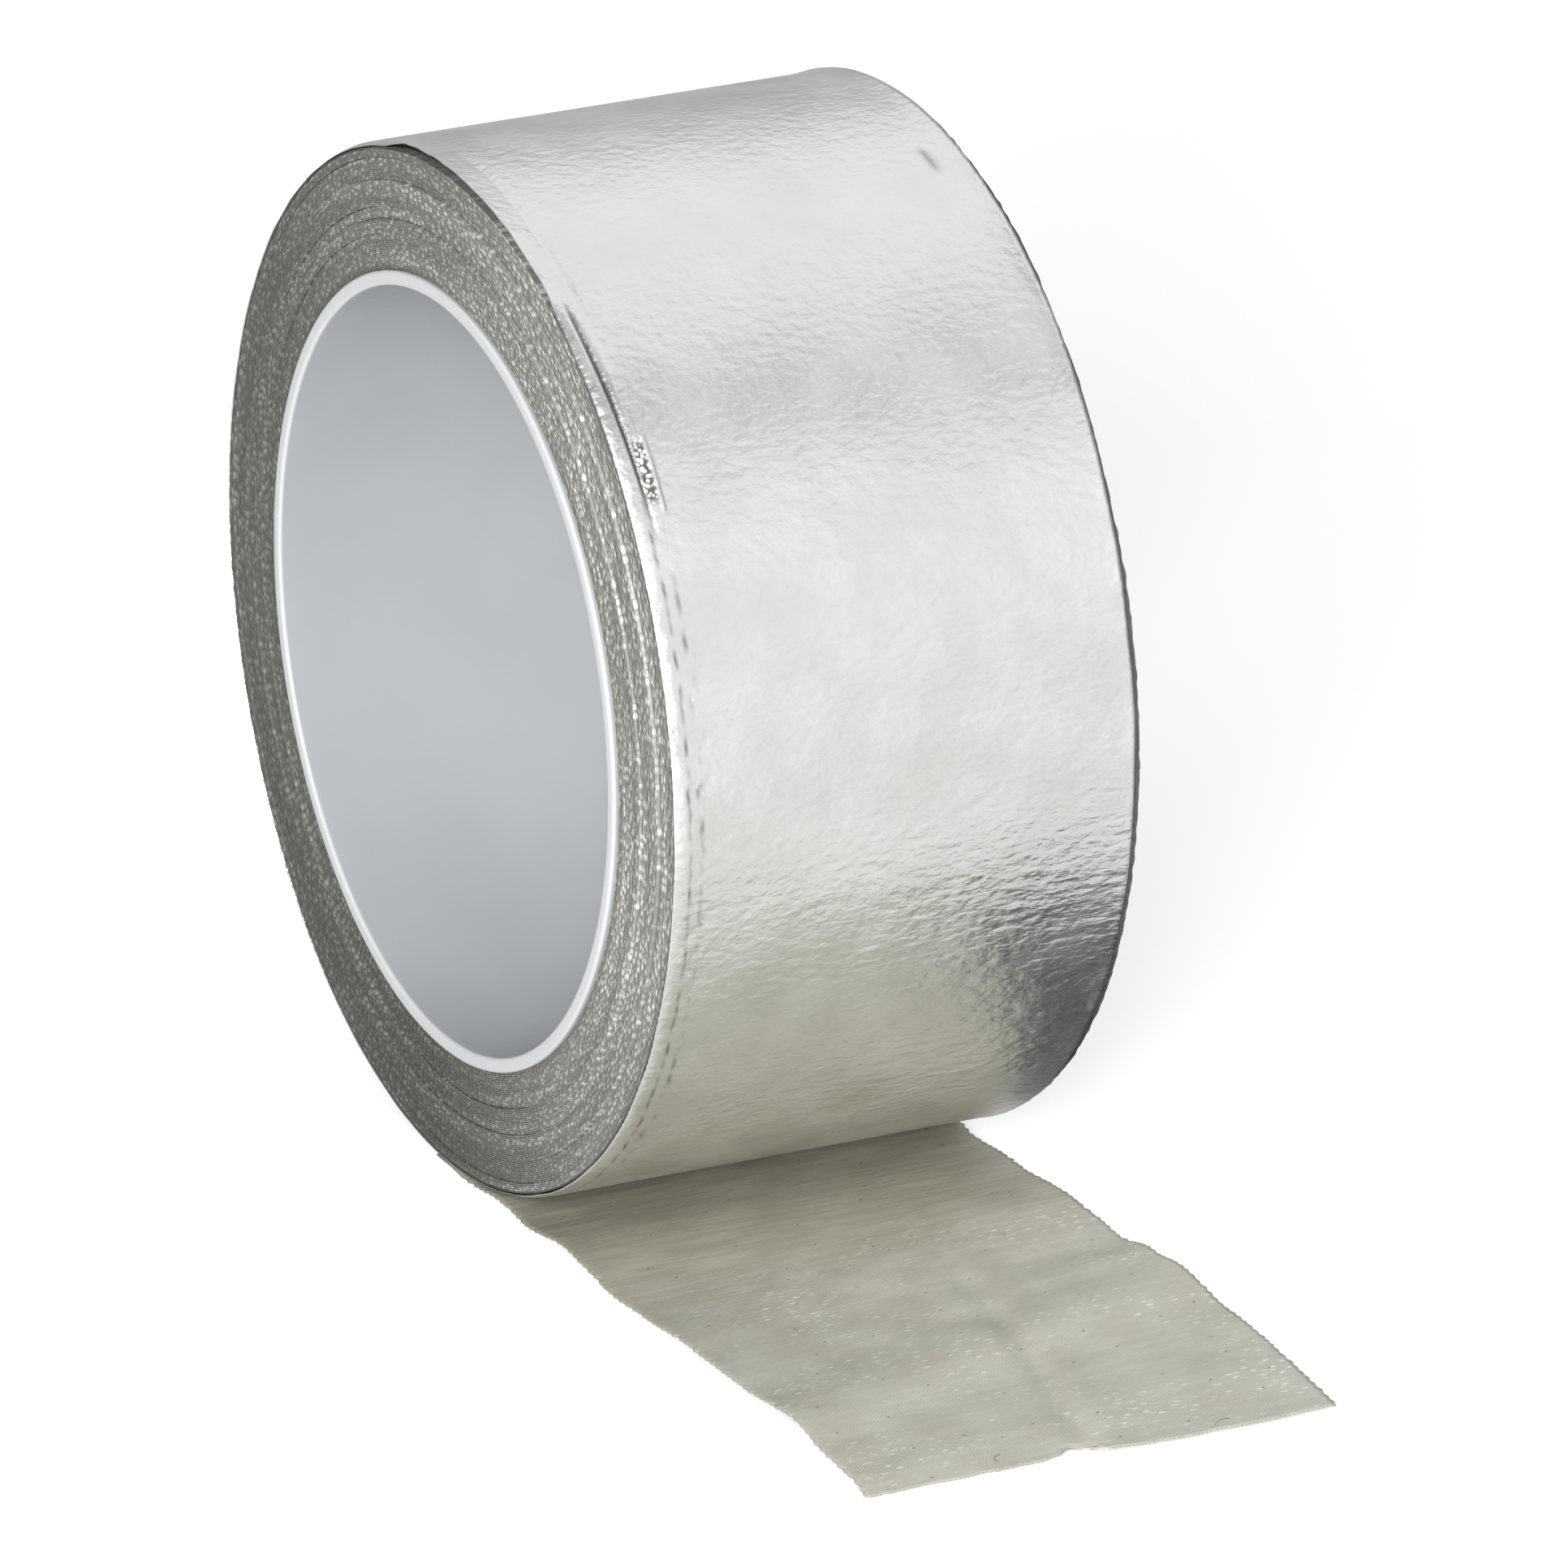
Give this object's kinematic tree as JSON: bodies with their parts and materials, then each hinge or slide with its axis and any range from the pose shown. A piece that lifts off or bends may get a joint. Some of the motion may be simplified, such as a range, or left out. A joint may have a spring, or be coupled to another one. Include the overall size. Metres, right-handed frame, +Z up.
{
  "type": "duct tape roll",
  "caption": "Roll of foil-faced glass-cloth duct tape on a white plastic core, standing on its rim, with a short cut tail laid out flat, adhesive side up.",
  "frame": {"origin": "centre of the core's bore, halfway along its length", "axes": "+Y along the roll's axis, +X the way the tail is laid out, +Z up from the surface that the roll stands on"},
  "size_m": [0.1455, 0.0508, 0.1043],
  "materials": {
    "core_plastic": "smooth satin white",
    "wound_tape": "cut edges of glass cloth, foil and adhesive",
    "foil": "satin foil with the cloth showing through as soft bumps",
    "glass_cloth": "fine plain weave",
    "adhesive": "thin clear tacky coat"
  },
  "bodies": {
    "contact": {"contact_foil": "foil", "contact_cloth": "glass_cloth", "contact_adhesive": "adhesive"},
    "roll": {"core": "core_plastic", "turn_band_1": "wound_tape", "turn_band_2": "wound_tape", "turn_band_3": "wound_tape", "turn_band_4": "wound_tape", "turn_band_5": "wound_tape", "turn_band_6": "wound_tape", "outer_turn_adhesive": "adhesive", "outer_turn_cloth": "glass_cloth", "outer_turn_foil": "foil"},
    "tail": {"tail_foil": "foil", "tail_cloth": "glass_cloth", "tail_adhesive": "adhesive"}
  },
  "joints": [
    {"name": "roll_turn", "type": "hinge", "parent": "contact", "child": "roll", "pos_m": [0, 0, 0], "axis": [0, -1, 0], "range_deg": [0, 360]},
    {"name": "tail_run_out", "type": "slide", "parent": "contact", "child": "tail", "axis": [1, 0, 0], "range_m": [0, 0.3262]}
  ],
  "couplings": [
    {"joint": "tail_run_out", "follows": "roll_turn", "m_per_rad": 0.0519}
  ]
}
